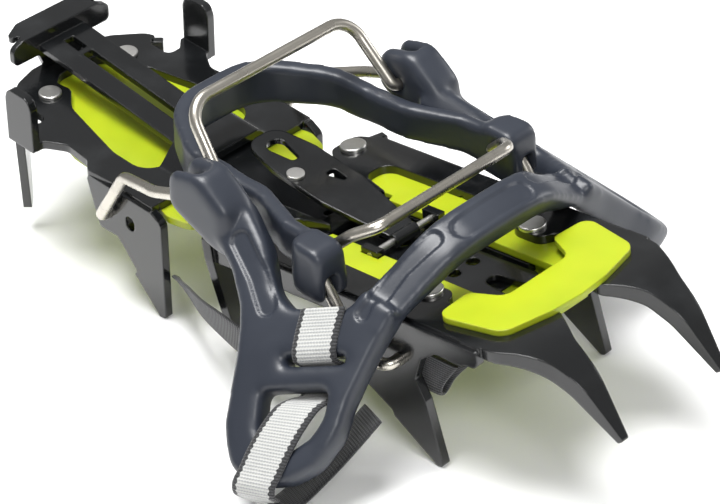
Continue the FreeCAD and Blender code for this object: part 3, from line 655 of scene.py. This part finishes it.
# ------------------------------------------------------------------ webbing
@dataclass
class Strap:
    """A length of webbing through sections of (centre, width direction, face)."""

    name: str
    node: str
    body: str
    weave: Weave
    sections: list[tuple[Array, Array, Array]]
    width: float = STRAP_WIDTH
    thickness: float = STRAP_THICKNESS
    samples: int = 220
    columns: int = 28

    def profile(self) -> Array:
        """The cross-section: a superellipse as wide and thick as the strap."""
        t = np.linspace(0.0, 2.0 * math.pi, self.columns, endpoint=False)
        c, s = np.cos(t), np.sin(t)
        x = np.sign(c) * np.abs(c) ** 0.45 * self.width / 2
        y = np.sign(s) * np.abs(s) ** 0.65 * self.thickness / 2
        return np.stack([x, y], axis=1)

    def rings(self) -> tuple[Array, Array]:
        """Cross-sections along the smooth run, and the length run at each."""
        rows = []
        for centre, wide, face in self.sections:
            w = np.asarray(wide, float) / np.linalg.norm(wide)
            n = np.asarray(face, float)
            n = n - w * (n @ w)
            rows.append(np.concatenate([centre, w, n / np.linalg.norm(n)]))
        run = smooth_run(np.array(rows), self.samples)
        centre, wide, face = run[:, :3], run[:, 3:6], run[:, 6:9]
        wide = wide / np.linalg.norm(wide, axis=1, keepdims=True)
        face = face - wide * np.sum(face * wide, axis=1, keepdims=True)
        face = face / np.linalg.norm(face, axis=1, keepdims=True)
        shape = self.profile()
        points = (centre[:, None] + wide[:, None] * shape[None, :, :1]
                  + face[:, None] * shape[None, :, 1:])
        steps = np.linalg.norm(np.diff(centre, axis=0), axis=1)
        return points, np.concatenate([[0.0], np.cumsum(steps)])

    def build(self, finish: bpy.types.Material) -> bpy.types.Object:
        """Makes the strap in that finish."""
        points, length = self.rings()
        shape = self.profile()
        across = shape[:, 0] / self.width + 0.5
        across += UNDERSIDE_SHIFT * (shape[:, 1] < -1e-6)
        rings = STANCE.place(points.reshape(-1, 3)).reshape(points.shape)
        mesh = grid_mesh(self.name, rings[:, ::-1], across[::-1], length / self.width)
        return add_piece(self.name, mesh, finish, self.body,
                         [self.node])


TAIL_WIDE = (0.86, -0.4, 0.3)
TAIL = (                     # centre and face of each section of the turned-back tail
    ((51.6, -91.0, 26.4), (0.0, -0.7, -0.9)), ((52.6, -87.0, 24.8), (0.0, 0.1, -1.0)),
    ((53.6, -80.0, 26.6), (-0.3, 0.4, -1.0)), ((54.6, -72.0, 30.4), (-0.4, 0.4, -1.0)),
    ((56.8, -64.0, 37.0), (-0.3, 0.6, -0.7)), ((59.6, -54.0, 46.4), (-0.3, 0.7, -0.7)),
)


def wing_section(along: float, out: float, lift: float, face: tuple[float, float],
                 turn: float = 0.0) -> tuple[Array, Array, Array]:
    """A strap section on the near wing.

    Args:
        along: Forward place in the wing's plane, in millimetres.
        out: Outward place.
        lift: Height over the wing's middle.
        face: The face's lean, as (run, lift) weights.
        turn: Extra turn of the width, in degrees.

    Returns:
        The section's centre, width direction and face.
    """
    forward, down, normal = WING.axes()
    a = math.radians(STRAP_TURN + turn)
    wide = forward * math.cos(a) - down * math.sin(a)
    run = forward * math.sin(a) + down * math.cos(a)
    top = run * face[0] + normal * face[1]
    near = np.array([1.0, -1.0, 1.0])
    return WING.point(along, out, lift), wide * near, top * near


def side_strap_sections() -> list[tuple[Array, Array, Array]]:
    """The loose strap: over the panel, through slot and loop, over the rim and back."""
    rows = [wing_section(-12.5, 6.0, 5.4, (0, 1)),
            wing_section(-8.6, 15.6, 5.2, (0, 1)),
            wing_section(-7.5, 17.8, 5.1, (0.4, 1)),
            wing_section(-6.4, 20.3, 3.0, (1, 0.4)),
            wing_section(-6.2, 20.6, 0.0, (1, 0)),
            wing_section(-6.0, 20.8, -3.2, (1, 0.2)),
            wing_section(-4.9, 22.6, -5.7, (0.6, 1)),
            wing_section(-3.8, 24.6, -6.0, (0, 1)),
            wing_section(-2.4, 28.6, -5.0, (-0.6, 1)),
            wing_section(-2.4, 31.2, -1.4, (-1, 0.6), -3),
            wing_section(-2.6, 34.6, 2.4, (-0.6, 1), -6),
            wing_section(-2.0, 42.0, 4.8, (-0.1, 1), -9),
            wing_section(-1.0, 50.0, 5.6, (0.05, 1), -11),
            wing_section(0.2, 57.0, 5.6, (0.1, 1), -11),
            wing_section(0.8, 61.4, 5.3, (0.4, 1), -11),
            wing_section(1.2, 63.6, 3.2, (1, 0.6), -11),
            wing_section(1.4, 64.3, -0.6, (1, 0), -11)]
    rows += [(np.array(c), np.array(TAIL_WIDE), np.array(f)) for c, f in TAIL]
    return rows


def rear_strap_sections() -> list[tuple[Array, Array, Array]]:
    """The black run that twists as it passes behind the heel tooth."""
    rows = [((-58.0, -29.0, 18.5), (-0.5, 0.6, -0.7), (0.3, 1.0, 0.3)),
            ((-44.0, -35.6, 24.0), (-0.44, 0.46, -0.78), (0.3, 1.0, 0.3)),
            ((-30.0, -42.0, 28.4), (-0.34, 0.34, -0.88), (0.4, 1.0, 0.2)),
            ((-16.0, -46.0, 31.6), (-0.26, 0.24, -0.94), (0.3, 1.0, 0.1)),
            ((-4.0, -48.5, 33.4), (-0.18, 0.18, -0.97), (0.2, 1.0, 0.0)),
            ((8.0, -50.0, 34.6), (-0.12, 0.14, -0.99), (0.1, 1.0, 0.0))]
    return [(np.array(c), np.array(w), np.array(f)) for c, w, f in rows]


def inner_strap_sections() -> list[tuple[Array, Array, Array]]:
    """The fold of webbing that hangs inside the near side point."""
    wide = np.array([1.0, 0.0, 0.12])
    rows = [((66.4, -27.5, 57.0), (0.0, 1.0, 0.2)), ((60.6, -28.4, 47.0), (0.0, 1.0, 0.2)),
            ((60.0, -29.4, 44.6), (0.0, 1.0, -0.8)), ((60.0, -31.0, 43.8), (0.0, 0.0, -1.0)),
            ((60.2, -32.6, 44.8), (0.0, -1.0, -0.8)), ((60.8, -33.0, 47.4), (0.0, -1.0, 0.1)),
            ((66.4, -32.4, 59.0), (0.0, -1.0, 0.1))]
    return [(np.array(c), wide, np.array(f)) for c, f in rows]


def tack_sections() -> list[tuple[Array, Array, Array]]:
    """The bar tack on the strap's turned-back tail."""
    wide = np.array(TAIL_WIDE)
    wide /= np.linalg.norm(wide)
    face = np.array(TAIL[4][1])
    face = face - wide * (face @ wide)
    face /= np.linalg.norm(face)
    low, high = np.array(TAIL[3][0]), np.array(TAIL[4][0])
    return [(low + (high - low) * s - face * 1.05, wide, face)
            for s in (0.05, 0.35, 0.65, 0.95)]


# ------------------------------------------------------------------ studio
@dataclass(frozen=True)
class Studio:
    """Pale floor, soft lights and a long-lens camera."""

    azimuth: float = 45.0
    elevation: float = 38.0
    distance: float = 935.0
    target: tuple[float, float, float] = (0.0, 0.0, 45.0)
    lens: float = 145.0
    floor_size: float = 8.0

    def floor(self) -> None:
        """A large square at the points' tips."""
        half = self.floor_size / 2
        mesh = bpy.data.meshes.new("floor")
        mesh.from_pydata([(-half, -half, 0), (half, -half, 0), (half, half, 0),
                          (-half, half, 0)], [], [(0, 1, 2, 3)])
        g = Graph("floor")
        tone = g.blend(g.noise(3.0, 2.0), (0.90, 0.90, 0.90), (0.93, 0.93, 0.93))
        mesh.materials.append(g.dress(Base_Color=tone, Roughness=0.7))
        floor = bpy.data.objects.new("floor", mesh)
        floor.location.z = -FLOOR_DROP
        bpy.context.scene.collection.objects.link(floor)

    def light(self, name: str, place: tuple[float, float, float], size: float,
              power: float) -> None:
        """An area light at place that faces the crampon."""
        data = bpy.data.lights.new(name, "AREA")
        data.shape = "RECTANGLE"
        data.size = size
        data.size_y = size
        data.energy = power
        lamp = bpy.data.objects.new(name, data)
        lamp.location = place
        aim = Vector((0.0, 0.0, 0.04)) - lamp.location
        lamp.rotation_euler = aim.to_track_quat("-Z", "Y").to_euler()
        bpy.context.scene.collection.objects.link(lamp)

    def world(self) -> None:
        """An even, nearly white surround."""
        world = bpy.data.worlds.new("surround")
        world.use_nodes = True
        back = world.node_tree.nodes["Background"]
        back.inputs[0].default_value = (1.0, 1.0, 1.0, 1.0)
        back.inputs[1].default_value = 0.34
        bpy.context.scene.world = world

    def camera(self) -> None:
        """Looks at the target from azimuth and elevation of the level drawing frame."""
        a, e = math.radians(self.azimuth), math.radians(self.elevation)
        away = Vector((math.sin(a) * math.cos(e), -math.cos(a) * math.cos(e), math.sin(e)))
        target = Vector(self.target) * MM
        turn = (-away).to_track_quat("-Z", "Y").to_matrix().to_4x4()
        turn.translation = target + away * self.distance * MM
        data = bpy.data.cameras.new("camera")
        data.lens = self.lens
        data.sensor_width = 36.0
        data.clip_start = 0.01
        eye = bpy.data.objects.new("camera", data)
        eye.matrix_world = STANCE.matrix() @ turn
        bpy.context.scene.collection.objects.link(eye)
        bpy.context.scene.camera = eye

    def build(self) -> None:
        """Sets up the whole studio."""
        self.floor()
        self.world()
        self.light("key", (-0.1, -0.1, 1.2), 0.6, 22.0)
        self.light("fill", (1.0, -0.5, 0.9), 0.5, 7.0)
        self.light("rim", (0.5, 1.3, 0.5), 0.5, 5.0)
        self.camera()
        bpy.context.scene.view_settings.view_transform = "Standard"


# ------------------------------------------------------------------ the whole
@dataclass
class HardParts:
    """Every frame node that keeps its own shape, by finish."""

    steel: tuple[str, ...] = ("front_frame", "heel_frame", "linking_bar", "lock_lever",
                              "bar_guide", "lock_stud")
    lime: tuple[str, ...] = ("front_antiball_plate", "heel_antiball_plate")
    rivets: tuple[str, ...] = ("front_rivets", "heel_rivets", "lever_rivet", "lever_pin")
    wires: tuple[str, ...] = ("heel_bail_wire", "toe_bail_wire")

    def dress(self, frame: dict[str, Any]) -> None:
        """Gives each node its finish."""
        finishes = ((self.steel, BlackSteel()), (self.lime, LimePlastic()),
                    (self.rivets, BrightMetal("rivet_steel", (0.78, 0.77, 0.74), 0.28)),
                    (self.wires, BrightMetal("bail_wire")))
        for nodes, finish in finishes:
            material = finish.make()
            for name in nodes:
                for slot in frame["nodes"][name].material_slots:
                    slot.material = material
                LOG.info("%s: %s", name, material.name)


def crampon_baskets() -> list[MouldedBasket]:
    """The heel basket with its pressed pockets, and the toe basket."""
    arm = [Pocket((-51.0, 3.9, 4.0), (-39.0, 9.6, 4.0), 3.5, 1.1, 0.8),
           Pocket((-39.0, 9.6, 4.0), (-30.0, 15.6, 4.0), 3.5, 1.1, 0.8)]
    crown = [Pocket((49.8, 47.0, 74.0), (50.0, 33.0, 84.0), 3.3, 1.1, 0.8),
             Pocket((50.0, 33.0, 84.0), (52.9, 22.0, 91.0), 3.3, 1.1, 0.8),
             Pocket((56.6, 13.0, 92.3), (56.0, -13.0, 92.3), 4.0, 0.8, 0.7)]
    heel = MouldedBasket("heel_basket_moulded", "heel_basket", "rear_basket",
                         pockets=crown, plane_pockets=arm)
    toe = MouldedBasket("toe_basket_moulded", "toe_basket", "front_basket",
                        melts=24, swell=0.6)
    return [heel, toe]


def main() -> None:
    """Builds every piece in order around the frame."""
    logging.basicConfig(level=logging.INFO, format="%(name)s %(message)s")
    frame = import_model()
    HardParts().dress(frame)
    plastic = BasketPlastic().make()
    for basket in crampon_baskets():
        basket.build(frame, plastic)
    pale = Webbing(Weave.PALE).make()
    black = Webbing(Weave.BLACK).make()
    Strap("side_strap_woven", "side_strap", "rear_basket", Weave.PALE,
          side_strap_sections(), samples=420).build(pale)
    Strap("strap_tack", "strap_stitching", "rear_basket", Weave.BLACK, tack_sections(),
          width=2.6, thickness=0.5, samples=40).build(black)
    Strap("rear_strap_woven", "rear_strap", "heel_section", Weave.BLACK,
          rear_strap_sections()).build(black)
    Strap("inner_strap_woven", "inner_strap", "front_section", Weave.BLACK,
          inner_strap_sections()).build(black)
    Studio().build()


if __name__ == "__main__":
    main()
